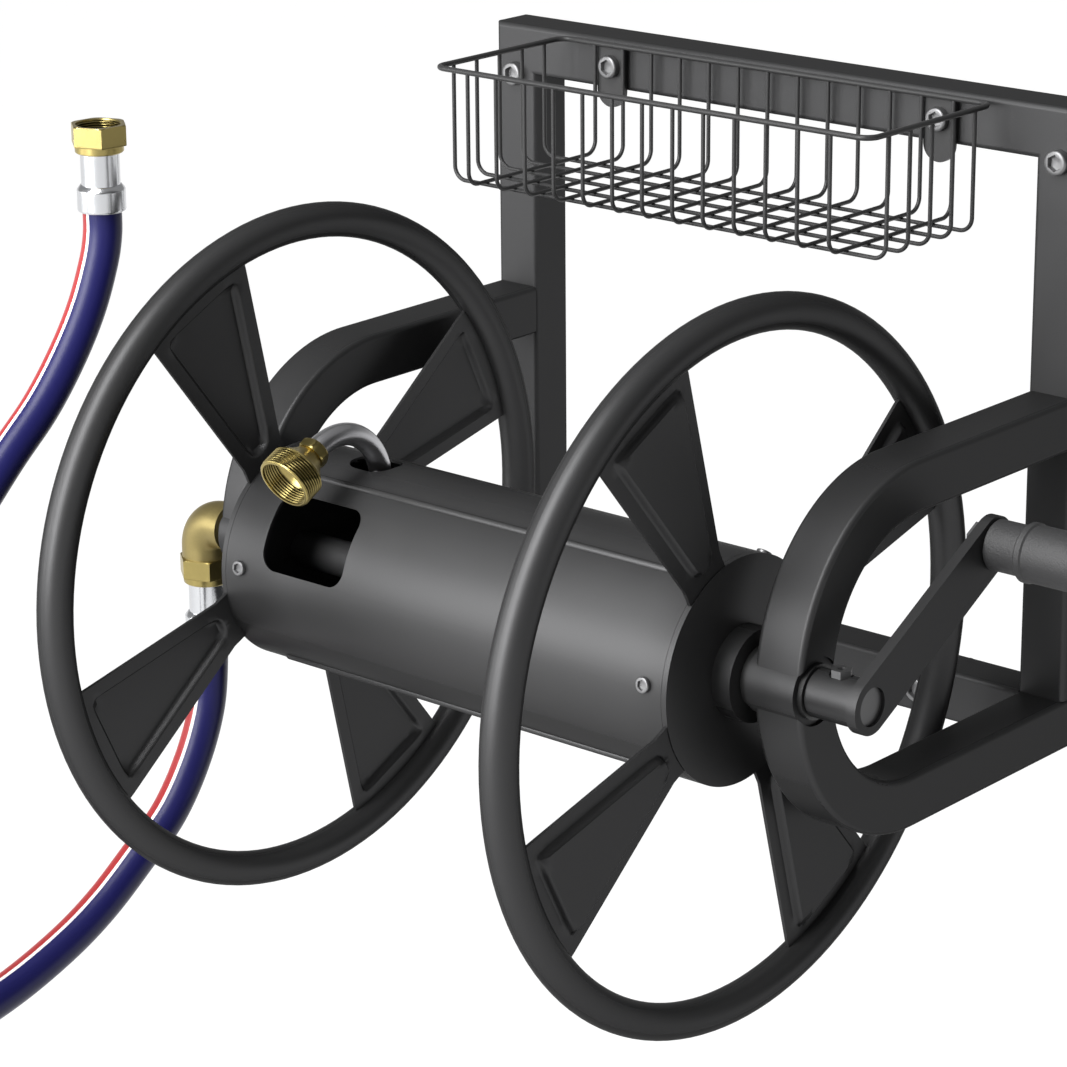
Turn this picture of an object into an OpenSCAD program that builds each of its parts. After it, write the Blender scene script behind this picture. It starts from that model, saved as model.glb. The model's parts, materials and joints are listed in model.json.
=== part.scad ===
// Wall mounted hose reel with a wire basket, a crank and a lead-in hose.
// Origin: on the wall plane, midway between the two upper wall bolts.
// +X runs along the axle to the crank, +Y into the wall, +Z up. Millimetres.

/* [Frame] */
// Outside width of the square frame tube
tube_w = 30; // [27:0.5:32]
// Wall of the frame tube
tube_t = 2; // [1.5:0.25:3]
// Outside corner radius of the frame tube
tube_corner = 3; // [2:0.25:4]
// Overall width of the frame
frame_w = 420; // [416:1:470]
// Height from the lower wall bolts up to the upper wall bolts
bolt_rise = 324; // [320:1:350]
// Centreline radius of the front bend of each side arm
bend_r = 89; // [80:1:90]
// Distance from the wall to the axle
axle_reach = 262; // [250:1:290]

/* [Wall bolts] */
// Shank diameter of the wall bolts
bolt_d = 8; // [6:0.5:10]
// Head diameter of the wall bolts
bolt_head_d = 14; // [12:0.5:18]
// Head height of the wall bolts
bolt_head_h = 5; // [4:0.5:7]
// How far each wall bolt reaches into the wall
bolt_grip = 24; // [20:1:70]
// Distance between the two lower wall bolts
lower_bolt_gap = 224; // [180:2:300]

/* [Bearings] */
// Outside diameter of the bearing tubes
bearing_d = 37; // [34:0.5:42]
// Wall of the bearing tubes
bearing_t = 3.5; // [2.5:0.25:4]
// Length of the bearing tubes
bearing_len = 31; // [30:0.5:34]
// How far the outer end of each bearing tube is set back from the frame side
bearing_inset = 2; // [0:0.5:3]
// Thickness of the flange on each bush
bush_flange_t = 4; // [2.5:0.25:4.5]
// Diameter of the flange on each bush
bush_flange_d = 34; // [32:0.5:37]
// How far each bush stands out of its bearing tube
bush_overhang = 3; // [2:0.5:4]
// Diameter of the axle
axle_d = 21; // [19:0.5:22]
// Diameter of the water way in the axle
axle_bore_d = 13; // [10:0.5:14]

/* [Wheels] */
// Centreline radius of the wheel rims
rim_r = 190; // [170:1:200]
// Diameter of the rim tube
rim_tube_d = 20; // [16:0.5:22]
// Wall of the rim tube
rim_tube_t = 1.5; // [1:0.25:2.5]
// Angle that each spoke covers
spoke_angle = 25.5; // [22:0.5:32]
// Angle of the first spoke of the left wheel
left_spoke_turn = 25.3; // [0:0.1:90]
// Angle of the first spoke of the right wheel
right_spoke_turn = 27.4; // [0:0.1:90]
// Thickness of the spoke sheet
spoke_t = 2; // [1.5:0.1:2.5]
// How far the middle of each spoke is pressed outward
pan_depth = 4; // [2:0.25:6]
// Flat border round the pressed middle of each spoke
pan_border = 7.75; // [6:0.25:9]

/* [Drum] */
// Outside diameter of the drum
drum_d = 125.4; // [118:0.2:140]
// Thickness of the drum panels
panel_t = 1.5; // [1:0.1:2]
// Angle of the first seam between the panels
seam_turn = 114; // [105:1:120]
// Depth of the folded edges of the panels
fold_h = 8; // [5:0.5:12]
// Thickness of the end discs
disc_t = 3.2; // [2:0.1:4]
// Width of the turned-in rim of the end discs
disc_rim_w = 20; // [16:1:30]
// Diameter of the collars on the end discs
collar_d = 51; // [40:1:60]
// Length of the collars on the end discs
collar_len = 11.9; // [8:0.1:20]
// Width of the window in the front panel
window_w = 61; // [40:1:66]
// Angle that the window covers
window_angle = 43.5; // [30:0.5:44]
// Corner radius of the window
window_corner = 10; // [6:0.5:12]

/* [Outlet] */
// Distance from the middle of the left wheel to the gooseneck
outlet_inset = 64; // [50:1:70]
// Diameter of the gooseneck tube
neck_d = 12.7; // [11:0.1:13]
// Wall of the gooseneck tube
neck_t = 1.2; // [0.8:0.1:1.5]
// Height of the straight leg of the gooseneck above the axle
neck_rise = 52.7; // [48:0.1:58]
// Centreline radius of the gooseneck bend
neck_bend_r = 34.5; // [30:0.5:36]
// Angle that the gooseneck bends through
neck_sweep = 117.5; // [100:0.5:120]
// Diameter over the outlet thread
outlet_d = 33; // [30:0.1:36]
// Length of the outlet thread
outlet_thread_len = 13.5; // [12:0.5:18]
// Wall of the outlet fitting at its mouth
outlet_t = 2.7; // [2:0.1:3.5]
// Length of the tapered shoulder behind the thread
shoulder_len = 10.5; // [8:0.5:14]
// Width across the flats of the outlet nut
outlet_nut_af = 16; // [15.5:0.1:19]
// Length of the outlet nut
outlet_nut_len = 6.5; // [5:0.5:9]

/* [Crank] */
// Angle of the crank above the direction to the wall
crank_turn = 29; // [0:1:90]
// Distance from the axle to the grip
crank_throw = 123; // [100:1:140]
// Width of the crank arm
crank_w = 30.5; // [27:0.5:34]
// Thickness of the crank arm
crank_t = 6; // [4:0.5:8]
// Diameter of the crank hub
hub_d = 26.4; // [25:0.2:30]
// Length of the crank hub
hub_len = 27.5; // [20:0.5:35]
// Length of the grip
grip_len = 110; // [90:1:130]
// Diameter of the grip
grip_d = 31; // [28:0.5:36]
// Diameter of the collar at the arm end of the grip
grip_collar_d = 27.6; // [24:0.2:28]
// Length of the collar at the arm end of the grip
grip_collar_len = 20; // [12:1:30]
// Diameter of the bead round the grip
grip_bead_d = 32.5; // [32:0.1:38]
// Diameter of the grip spindle
spindle_d = 10; // [8:0.5:12]

/* [Inlet] */
// Distance from the frame side to the inlet elbow
inlet_offset = 28; // [26:0.5:36]
// Outside diameter of the inlet elbow
elbow_d = 28; // [27.5:0.1:29]
// Centreline radius of the inlet elbow
elbow_bend_r = 15; // [14.75:0.05:15.5]
// Height from the elbow mouth up to the axle
elbow_drop = 21.5; // [20:0.5:30]
// Diameter of the swivel thread
thread_d = 24; // [23.5:0.1:25]
// Width across the flats of the hose nuts
nut_af = 29; // [28:0.1:32]
// Height of the hexagon of the hose nuts
nut_hex_h = 11.5; // [10.5:0.1:14]
// Height of the round base of the hose nuts
nut_base_h = 4.5; // [4:0.1:6]
// Diameter of the round base of the hose nuts
nut_base_d = 27.3; // [27:0.1:28]
// Length of the bright neck of each hose end
stem_neck_len = 18; // [12:0.5:24]
// Diameter of the hose and of the bright neck
hose_d = 22; // [20:0.1:24]
// Diameter of the crimped ferrules
ferrule_d = 27.3; // [25:0.1:30]
// Length of the crimped ferrules
ferrule_len = 15; // [12:0.5:20]

/* [Basket] */
// Width of the basket over its rim wire
basket_w = 311; // [290:1:320]
// Depth of the basket from front to back
basket_d = 116.5; // [90:0.5:120]
// Height of the rim wire's middle above the middle of the top rail
basket_lift = 12; // [11:0.5:15]
// Height of the basket from its rim down to its floor
basket_h = 69.5; // [50:0.5:72]
// Diameter of the rim wire
rim_wire_d = 3.2; // [2.8:0.1:5]
// Diameter of the thin wires
wire_d = 2.4; // [2:0.1:3.6]
// Distance between the hoops
hoop_gap = 21.4; // [20:0.1:22]
// Number of hoops
hoop_count = 13; // [11:2:13]
// Distance between the long wires
long_wire_gap = 20; // [17:0.1:22]
// Corner radius of the rim wire
basket_corner = 8; // [6:0.5:20]
// Bend radius of the thin wires
wire_bend_r = 8; // [6:0.5:14]
// Thickness of the mounting tabs
tab_t = 3; // [2:0.5:4]
// Height of the mounting tabs
tab_h = 37.5; // [34:0.5:40]
// Diameter of the basket bolts
tab_bolt_d = 6; // [5:0.5:8]
// Head diameter of the basket bolts
tab_head_d = 13.5; // [11:0.5:15]

/* [Hidden] */
$fn = 64;

eps = 0.01;
// Gap round each wall bolt in the frame's holes
bolt_clearance = 1.25;
// Gap round the axle in its bushes and in the inlet elbow
run_clearance = 0.06;
// Gap beside each piece that turns
side_clearance = 0.5;
// Gap between the edges of neighbouring drum panels
panel_gap = 0.4;

post_x = frame_w / 2 - tube_w / 2;
rail_z = tube_w / 2;
lower_z = -bolt_rise;
axle_z = lower_z + bend_r;
axle_y = -axle_reach;
bend_y = axle_y + bend_r;

bearing_out = frame_w / 2 - bearing_inset;
bearing_in = bearing_out - bearing_len;
bush_out = bearing_out + bush_overhang;
bush_end = bearing_in - bush_flange_t;
collar_end = bush_end - side_clearance;
disc_face = collar_end - collar_len;
wheel_x = disc_face - disc_t / 2;
disc_back = disc_face - disc_t;
axle_r = axle_d / 2;
axle_bore_r = axle_bore_d / 2;
drum_r = drum_d / 2;
rim_tube_r = rim_tube_d / 2;

hub_start = bush_out + side_clearance;
hub_end = hub_start + hub_len;
crank_face = hub_end + crank_t;
shaft_recess = 2;
grip_play = 0.4;
grip_start = crank_face + grip_play;

inlet_x = -frame_w / 2 - inlet_offset;
elbow_end = -bush_out - 5;
axle_tip = inlet_x + elbow_bend_r - 6;
elbow_mouth_z = axle_z - elbow_drop;
nut_h = nut_hex_h + nut_base_h;
nut_turn = 22;
nut_web_t = 3;
nut_play = 0.3;
stem_d = 16.8;
stem_bore_d = 13;
flange_t = 2;
washer_t = 3;
flange_top = -nut_h + nut_web_t + nut_play + flange_t;
stem_neck_top = -nut_h - nut_play;
hose_end_len = stem_neck_len + ferrule_len - stem_neck_top;
spigot_len = -flange_top - washer_t;
lower_hose_z = elbow_mouth_z - hose_end_len;

outlet_x = -wheel_x + outlet_inset;

// The free coupling stands upright over the end of the hose route.
coupling_y = -332.3;
upper_hose_z = -35.5;
coupling_mouth_z = upper_hose_z + hose_end_len;

// Route of the lead-in hose as height and distance from the wall, in the plane of the elbow.
hose_route = [
  [axle_y, lower_hose_z], [-262, -320], [-266, -350], [-279, -380], [-300, -408],
  [-328, -429], [-358, -449], [-390, -464], [-432, -477], [-469, -482],
  [-509, -475], [-545, -451], [-570, -414], [-579, -370], [-571, -327],
  [-547, -289], [-502, -246], [-457.5, -204.5], [-414.5, -163.5], [-385, -138],
  [-363, -112.5], [-347, -88], [-336.5, -64], [-333.1, -51], [coupling_y, -43],
  [coupling_y, upper_hose_z]
];
hose_sides = 12;

// Turns the XY plane into the YZ plane of the wheels, with local Z along the axle.
module on_axle(x = 0) translate([x, axle_y, axle_z]) rotate([90, 0, 90]) children();

module ring(r_out, r_in, h) {
  difference() {
    cylinder(r = r_out, h = h);
    translate([0, 0, -eps]) cylinder(r = r_in, h = h + 2 * eps);
  }
}

module torus(r, tube_r, angle = 360) {
  rotate_extrude(angle = angle, $fn = 96) translate([r, 0]) circle(r = tube_r, $fn = 32);
}

module hexagon(af, h) cylinder(d = af / cos(30), h = h, $fn = 6);

// Round bolt with a hex socket; the underside of its head is at z = 0.
module socket_bolt(d, head_d, head_h, length) {
  difference() {
    union() {
      cylinder(d = head_d, h = head_h);
      translate([0, 0, -length]) cylinder(d = d, h = length + eps);
    }
    translate([0, 0, head_h * 0.4]) hexagon(head_d * 0.42, head_h);
  }
}

module rounded_square(w, r) {
  square([w - 2 * r, w], center = true);
  square([w, w - 2 * r], center = true);
  for (x = [-1, 1], y = [-1, 1])
    translate([x * (w / 2 - r), y * (w / 2 - r)]) circle(r = r, $fn = 24);
}

module tube_section() {
  difference() {
    rounded_square(tube_w, tube_corner);
    rounded_square(tube_w - 2 * tube_t, tube_corner - tube_t / 2);
  }
}

module tube_up(h) linear_extrude(h) tube_section();

// Prism on one side of the mitre between the top rail and a post.
module mitre(side, above) {
  outer = frame_w / 2 + 1;
  inner = frame_w / 2 - tube_w - 1;
  top = rail_z + tube_w / 2 + 1;
  bottom = rail_z - tube_w / 2 - 1;
  third = above ? [side * inner, top] : [side * outer, bottom];
  rotate([90, 0, 0]) linear_extrude(4 * tube_w, center = true)
    polygon([[side * outer, top], [side * inner, bottom], third]);
}

module wall_bolt_places() {
  for (x = [-post_x, post_x]) translate([x, -tube_w, 0]) rotate([90, 0, 0]) children();
  for (x = [-1, 1])
    translate([x * lower_bolt_gap / 2, -tube_w, lower_z]) rotate([90, 0, 0]) children();
}

module wall_bolt_holes() {
  wall_bolt_places() translate([0, 0, -tube_w - 1])
    cylinder(d = bolt_d + 2 * bolt_clearance, h = tube_w + 2);
}

hoops_each_side = (hoop_count - 1) / 2;
tab_x = hoop_gap * (hoops_each_side - 0.5);
basket_z = rail_z + basket_lift;
tab_bolt_z = basket_z - 13;

module tab_bolt_places() {
  for (x = [-tab_x, tab_x])
    translate([x, -tube_w - tab_t, tab_bolt_z]) rotate([90, 0, 0]) children();
}

module top_rail() {
  color("dimgray") difference() {
    translate([-frame_w / 2, -tube_w / 2, rail_z]) rotate([0, 90, 0]) tube_up(frame_w);
    for (side = [-1, 1]) mitre(side, false);
    tab_bolt_places() translate([0, 0, -tab_t - tube_t - 1])
      cylinder(d = tab_bolt_d, h = tab_t + tube_t + 2);
  }
}

module post(side) {
  bottom = lower_z + tube_w / 2;
  color("dimgray") difference() {
    translate([side * post_x, -tube_w / 2, bottom]) tube_up(rail_z + tube_w / 2 - bottom);
    mitre(side, true);
    wall_bolt_holes();
  }
}

module left_post() post(-1);
module right_post() post(1);

module lower_rail() {
  inner_w = frame_w - 2 * tube_w;
  color("dimgray") difference() {
    translate([-inner_w / 2, -tube_w / 2, lower_z]) rotate([0, 90, 0]) tube_up(inner_w);
    wall_bolt_holes();
  }
}

// Half of a side arm: a straight run from the frame and a quarter bend to the bearing tube.
module half_arm(side, up) {
  run_start = up > 0 ? -tube_w : 0;
  color("dimgray") difference() {
    union() {
      translate([side * post_x, run_start, axle_z + up * bend_r]) rotate([90, 0, 0])
        tube_up(run_start - bend_y);
      translate([side * post_x, bend_y, axle_z]) rotate([90, 0, 90])
        rotate([0, 0, up > 0 ? 90 : 180]) rotate_extrude(angle = 90, $fn = 96)
        translate([bend_r, 0]) tube_section();
    }
    on_axle(side * post_x) cylinder(d = bearing_d, h = 2 * tube_w, center = true);
  }
}

module left_upper_arm() half_arm(-1, 1);
module left_lower_arm() half_arm(-1, -1);
module right_upper_arm() half_arm(1, 1);
module right_lower_arm() half_arm(1, -1);

module bearing_tube(side) {
  color("slategray") on_axle() mirror([0, 0, side > 0 ? 0 : 1]) translate([0, 0, bearing_in])
    ring(bearing_d / 2, bearing_d / 2 - bearing_t, bearing_len);
}

module left_bearing_tube() bearing_tube(-1);
module right_bearing_tube() bearing_tube(1);

// Plain bush with its flange towards the drum.
module bush(side) {
  color("ivory") on_axle() mirror([0, 0, side > 0 ? 0 : 1]) difference() {
    union() {
      translate([0, 0, bearing_in]) cylinder(r = bearing_d / 2 - bearing_t, h = bush_out - bearing_in);
      translate([0, 0, bush_end]) cylinder(d = bush_flange_d, h = bush_flange_t);
    }
    translate([0, 0, bush_end - 1]) cylinder(r = axle_r + run_clearance, h = bush_out - bush_end + 2);
  }
}

module left_bush() bush(-1);
module right_bush() bush(1);

module wall_bolts() {
  color("silver") wall_bolt_places()
    socket_bolt(bolt_d, bolt_head_d, bolt_head_h, tube_w + bolt_grip);
}

rim_wire_r = rim_wire_d / 2;
wire_r = wire_d / 2;
basket_back = -tube_w - tab_t;
basket_mid_y = basket_back - basket_d / 2;
rim_half_x = basket_w / 2 - rim_wire_r;
rim_half_y = basket_d / 2 - rim_wire_r;
long_floor_z = basket_z - basket_h + wire_r;

// Closed loop of round wire with four round corners, lying flat.
module wire_loop(half_x, half_y, corner, r) {
  for (side = [-1, 1]) {
    translate([-half_x + corner, side * half_y, 0]) rotate([0, 90, 0])
      cylinder(r = r, h = 2 * (half_x - corner), $fn = 24);
    translate([side * half_x, -half_y + corner, 0]) rotate([-90, 0, 0])
      cylinder(r = r, h = 2 * (half_y - corner), $fn = 24);
  }
  for (turn = [0 : 3]) {
    sx = (turn == 0 || turn == 3) ? 1 : -1;
    sy = turn < 2 ? 1 : -1;
    translate([sx * (half_x - corner), sy * (half_y - corner), 0]) rotate([0, 0, 90 * turn])
      torus(corner, r, 90);
  }
}

// U of round wire in the XZ plane, with its floor at z = 0.
module wire_hoop(half_w, rise, bend, r) {
  translate([-half_w + bend, 0, 0]) rotate([0, 90, 0]) cylinder(r = r, h = 2 * (half_w - bend), $fn = 24);
  for (turn = [0, 180]) rotate([0, 0, turn]) {
    translate([half_w, 0, bend]) cylinder(r = r, h = rise - bend, $fn = 24);
    translate([half_w - bend, 0, bend]) rotate([90, 0, 0]) rotate([0, 0, -90]) torus(bend, r, 90);
  }
}

module basket_rim() {
  color("dimgray") translate([0, basket_mid_y, basket_z])
    wire_loop(rim_half_x, rim_half_y, basket_corner, rim_wire_r);
}

module basket_wires() {
  lap = 0.2;
  hoop_floor_z = long_floor_z + wire_d - lap;
  color("dimgray") difference() {
    union() {
      for (k = [-hoops_each_side : hoops_each_side])
        translate([k * hoop_gap, basket_mid_y, hoop_floor_z]) rotate([0, 0, 90])
          wire_hoop(rim_half_y, basket_z - hoop_floor_z, wire_bend_r, wire_r);
      for (k = [-2 : 2])
        translate([0, basket_mid_y + k * long_wire_gap, long_floor_z])
          wire_hoop(rim_half_x, basket_z - long_floor_z, wire_bend_r, wire_r);
    }
    basket_rim();
  }
}

module basket_tabs() {
  tab_w = hoop_gap - 0.9;
  color("dimgray") for (x = [-tab_x, tab_x]) difference() {
    translate([x, -tube_w, basket_z]) rotate([90, 0, 0]) linear_extrude(tab_t) {
      translate([-tab_w / 2, -tab_h + tab_w / 2]) square([tab_w, tab_h - tab_w / 2]);
      translate([0, -tab_h + tab_w / 2]) circle(d = tab_w);
    }
    tab_bolt_places() translate([0, 0, -2 * tab_t]) cylinder(d = tab_bolt_d, h = 3 * tab_t);
  }
}

module basket_bolts() {
  color("silver") tab_bolt_places() socket_bolt(tab_bolt_d, tab_head_d, 4.5, tab_t + tube_w * 0.6);
}

module rim_solid(side) on_axle(side * wheel_x) torus(rim_r, rim_tube_r);

module rim(side) {
  color("dimgray") difference() {
    rim_solid(side);
    on_axle(side * wheel_x) torus(rim_r, rim_tube_r - rim_tube_t);
  }
}

module left_rim() rim(-1);
module right_rim() rim(1);

// Outline of the pressed middle of a spoke, with cut corners.
module pan_outline(inset) {
  half = spoke_angle / 2;
  r_in = drum_r + 7.5 + inset;
  r_out = rim_r - rim_tube_r - 8 - inset;
  side = pan_border / cos(half) + inset;
  w_in = r_in * tan(half) - side;
  w_out = r_out * tan(half) - side;
  cut = 4;
  polygon([
    [r_in, -w_in + cut], [r_in + cut, -w_in], [r_out - cut, -w_out], [r_out, -w_out + cut],
    [r_out, w_out - cut], [r_out - cut, w_out], [r_in + cut, w_in], [r_in, w_in - cut]
  ]);
}

// One spoke lying along +X in the wheel's plane, pressed towards +Z.
module spoke() {
  far = rim_r * 1.2;
  difference() {
    union() {
      translate([0, 0, -spoke_t / 2]) linear_extrude(spoke_t) difference() {
        intersection() {
          circle(r = rim_r - rim_tube_r + 4, $fn = 96);
          polygon([[0, 0], [far, -far * tan(spoke_angle / 2)], [far, far * tan(spoke_angle / 2)]]);
        }
        circle(r = drum_r, $fn = 96);
      }
      translate([0, 0, -spoke_t / 2]) linear_extrude(spoke_t + pan_depth) pan_outline(0);
    }
    translate([0, 0, -spoke_t]) linear_extrude(spoke_t / 2 + pan_depth) pan_outline(spoke_t);
  }
}

module spokes(side, first) {
  color("dimgray") difference() {
    on_axle(side * wheel_x) for (k = [0 : 3]) rotate([0, 0, first + 90 * k])
      mirror([0, 0, side > 0 ? 0 : 1]) spoke();
    rim_solid(side);
  }
}

module left_spokes() spokes(-1, left_spoke_turn);
module right_spokes() spokes(1, right_spoke_turn);

panel_in = drum_r - panel_t;
panel_count = 3;
panel_angle = 360 / panel_count;
panel_half_len = disc_back - panel_gap / 2;
screw_x = wheel_x - 13;
screw_d = 5;

// A flat wedge from the angle 0 to the angle given.
module wedge(r, angle) {
  steps = 8;
  polygon(concat([[0, 0]], [for (k = [0 : steps])
    let (a = angle * k / steps) 2 * r * [cos(a), sin(a)]]));
}

// One of the three curved panels, with both long edges folded in towards the axle.
module panel(k) {
  half_gap = panel_gap / 2;
  fold_start = disc_rim_w + 2;
  on_axle(-panel_half_len) rotate([0, 0, seam_turn + panel_angle * (k - 1)]) difference() {
    union() {
      linear_extrude(2 * panel_half_len) difference() {
        intersection() {
          circle(r = drum_r, $fn = 96);
          wedge(drum_r, panel_angle);
        }
        circle(r = panel_in, $fn = 96);
        for (edge = [0, 1]) rotate([0, 0, panel_angle * edge])
          translate([0, -half_gap]) square([2 * drum_r, 2 * half_gap]);
      }
      for (edge = [0, 1]) rotate([0, 0, panel_angle * edge]) mirror([0, edge, 0])
        translate([panel_in - fold_h, half_gap, fold_start])
        cube([fold_h + panel_t / 2, panel_t, 2 * (panel_half_len - fold_start)]);
    }
    for (x = [panel_half_len - screw_x, panel_half_len + screw_x])
      translate([0, 0, x]) rotate([0, 0, panel_angle / 2]) rotate([0, 90, 0])
      cylinder(d = screw_d, h = 2 * drum_r);
  }
}

// Rounded opening cut through a panel, centred on an angle and a place along the axle.
module panel_opening(x, w, turn, angle, corner) {
  h = 2 * panel_in * sin(angle / 2);
  on_axle() rotate([0, 0, turn]) rotate([0, 90, 0]) linear_extrude(2 * drum_r) {
    translate([-x, 0]) {
      square([w - 2 * corner, h], center = true);
      square([w, h - 2 * corner], center = true);
      for (sx = [-1, 1], sy = [-1, 1])
        translate([sx * (w / 2 - corner), sy * (h / 2 - corner)]) circle(r = corner, $fn = 32);
    }
  }
}

module top_panel() {
  color("dimgray") difference() {
    panel(0);
    panel_opening(outlet_x - 3.5, 29, 90, 23, 10);
  }
}

module front_panel() {
  color("dimgray") difference() {
    panel(1);
    panel_opening(-wheel_x + 59.5, window_w, seam_turn + 35.75, window_angle, window_corner);
  }
}

module rear_panel() {
  color("dimgray") panel(2);
}

// Flat disc with a rim turned in under the ends of the panels.
module end_disc(side) {
  rim_out = panel_in - 0.1;
  color("dimgray") on_axle() mirror([0, 0, side > 0 ? 0 : 1]) difference() {
    union() {
      translate([0, 0, disc_back]) cylinder(r = drum_r, h = disc_t, $fn = 96);
      translate([0, 0, disc_back - disc_rim_w]) cylinder(r = rim_out, h = disc_rim_w + 1, $fn = 96);
    }
    translate([0, 0, disc_back - disc_rim_w - 1]) cylinder(r = rim_out - 2, h = disc_rim_w + 1, $fn = 96);
    translate([0, 0, disc_back - 1]) cylinder(r = axle_r, h = disc_t + 2);
    for (k = [0 : panel_count - 1]) rotate([0, 0, seam_turn + panel_angle * (k + 0.5)])
      translate([0, 0, screw_x]) rotate([0, 90, 0]) cylinder(d = screw_d, h = drum_d);
  }
}

module left_end_disc() end_disc(-1);
module right_end_disc() end_disc(1);

module collar(side) {
  color("dimgray") on_axle() mirror([0, 0, side > 0 ? 0 : 1]) translate([0, 0, disc_face])
    ring(collar_d / 2, axle_r, collar_end - disc_face);
}

module left_collar() collar(-1);
module right_collar() collar(1);

seal_x = elbow_end - 5;
clip_x = elbow_end - 10;
clip_t = 1.2;
seal_r = 0.8;
outlet_bore_end = outlet_x + 9;

module axle() {
  shaft_end = crank_face - shaft_recess;
  color("gray") difference() {
    on_axle(axle_tip) cylinder(r = axle_r, h = shaft_end - axle_tip);
    on_axle(axle_tip - 1) cylinder(r = axle_bore_r, h = outlet_bore_end - axle_tip + 1);
    translate([outlet_x, axle_y, axle_z]) cylinder(d = neck_d, h = axle_d);
    on_axle(seal_x - 1.2) ring(axle_r + 1, axle_r - 1.65, 2.4);
    on_axle(clip_x - clip_t / 2) ring(axle_r + 2, axle_r - 1, clip_t);
  }
}

module panel_screws() {
  color("silver") for (side = [-1, 1], k = [0 : panel_count - 1]) on_axle(side * screw_x)
    rotate([0, 0, seam_turn + panel_angle * (k + 0.5)]) rotate([0, 90, 0]) translate([0, 0, drum_r])
    socket_bolt(screw_d, 8.6, 2.4, 6);
}

module neck_path(r, extra) {
  translate([outlet_x, axle_y, axle_z]) {
    translate([0, 0, axle_bore_r + 2 - extra]) cylinder(r = r, h = neck_rise - axle_bore_r - 2 + extra);
    translate([0, -neck_bend_r, neck_rise]) rotate([90, 0, 90]) torus(neck_bend_r, r, neck_sweep);
    translate([0, -neck_bend_r, neck_rise]) rotate([neck_sweep, 0, 0]) translate([0, neck_bend_r, 0])
      cylinder(r = r, h = outlet_nut_len - 1.5 + extra);
  }
}

module gooseneck() {
  color("silver") difference() {
    neck_path(neck_d / 2, 0);
    neck_path(neck_d / 2 - neck_t, 1);
  }
}

// Places a shape on the outlet, with local +Z out of its mouth and z = 0 at the end of the bend.
module on_outlet() {
  translate([outlet_x, axle_y - neck_bend_r, axle_z + neck_rise]) rotate([neck_sweep, 0, 0])
    translate([0, neck_bend_r, 0]) children();
}

outlet_nut_start = -0.2;
shoulder_start = outlet_nut_start + outlet_nut_len;
thread_start = shoulder_start + shoulder_len;
outlet_mouth = thread_start + outlet_thread_len;

module outlet_nut() {
  color("goldenrod") on_outlet() difference() {
    translate([0, 0, outlet_nut_start]) hexagon(outlet_nut_af, outlet_nut_len);
    translate([0, 0, outlet_nut_start - 1]) cylinder(d = neck_d, h = outlet_nut_len + 2);
  }
}

module outlet_fitting() {
  r = outlet_d / 2;
  bore = r - outlet_t;
  color("goldenrod") on_outlet() rotate_extrude() polygon([
    [neck_d / 2 - neck_t, shoulder_start], [outlet_nut_af / 2 - 0.6, shoulder_start],
    [r - 4, thread_start - 3], [r - 1, thread_start], [r, thread_start], [r, outlet_mouth],
    [bore, outlet_mouth], [bore, thread_start + 1], [neck_d / 2 - neck_t, shoulder_start + 4]
  ]);
}

set_screw_d = 8;
set_screw_seat = hub_d / 2 - 1.2;
module on_set_screw() translate([hub_start + hub_len / 2, axle_y, axle_z]) children();

module crank_hub() {
  color("dimgray") difference() {
    on_axle(hub_start) ring(hub_d / 2, axle_r, hub_len);
    on_set_screw() cylinder(d = set_screw_d, h = hub_d);
    on_set_screw() translate([0, 0, set_screw_seat]) cylinder(d = set_screw_d + 5, h = hub_d);
  }
}

module crank_set_screw() {
  head_h = 4.2;
  color("silver") on_set_screw() difference() {
    union() {
      translate([0, 0, axle_r]) cylinder(d = set_screw_d, h = set_screw_seat - axle_r + 1);
      translate([0, 0, set_screw_seat]) hexagon(set_screw_d + 2, head_h);
    }
    translate([0, 0, set_screw_seat + head_h - 2.2]) hexagon(4.5, 4);
  }
}

module crank_arm() {
  color("dimgray") on_axle(hub_end) rotate([0, 0, crank_turn]) difference() {
    union() {
      cylinder(d = crank_w, h = crank_t);
      translate([crank_throw, 0, 0]) cylinder(d = crank_w, h = crank_t);
      translate([0, -crank_w / 2, 0]) cube([crank_throw, crank_w, crank_t]);
    }
    translate([0, 0, -1]) cylinder(r = axle_r, h = crank_t + 2);
    translate([crank_throw, 0, -1]) cylinder(d = spindle_d, h = crank_t + 2);
  }
}

// Places a shape on the grip's axis, with local Z along the axle.
module on_grip(x) on_axle(x) rotate([0, 0, crank_turn]) translate([crank_throw, 0, 0]) children();

grip_end = grip_start + grip_len;
spindle_head_t = 5;
spindle_nut_t = 7;

module grip_spindle() {
  color("silver") on_grip(hub_end - spindle_nut_t) {
    cylinder(d = spindle_d, h = grip_end - spindle_head_t - 0.7 - hub_end + spindle_nut_t);
    translate([0, 0, grip_end - spindle_head_t - 0.7 - hub_end + spindle_nut_t])
      cylinder(d = spindle_d + 6, h = spindle_head_t);
  }
}

module spindle_nut() {
  color("silver") on_grip(hub_end - spindle_nut_t) difference() {
    hexagon(17, spindle_nut_t);
    translate([0, 0, -1]) cylinder(d = spindle_d, h = spindle_nut_t + 2);
  }
}

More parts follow.
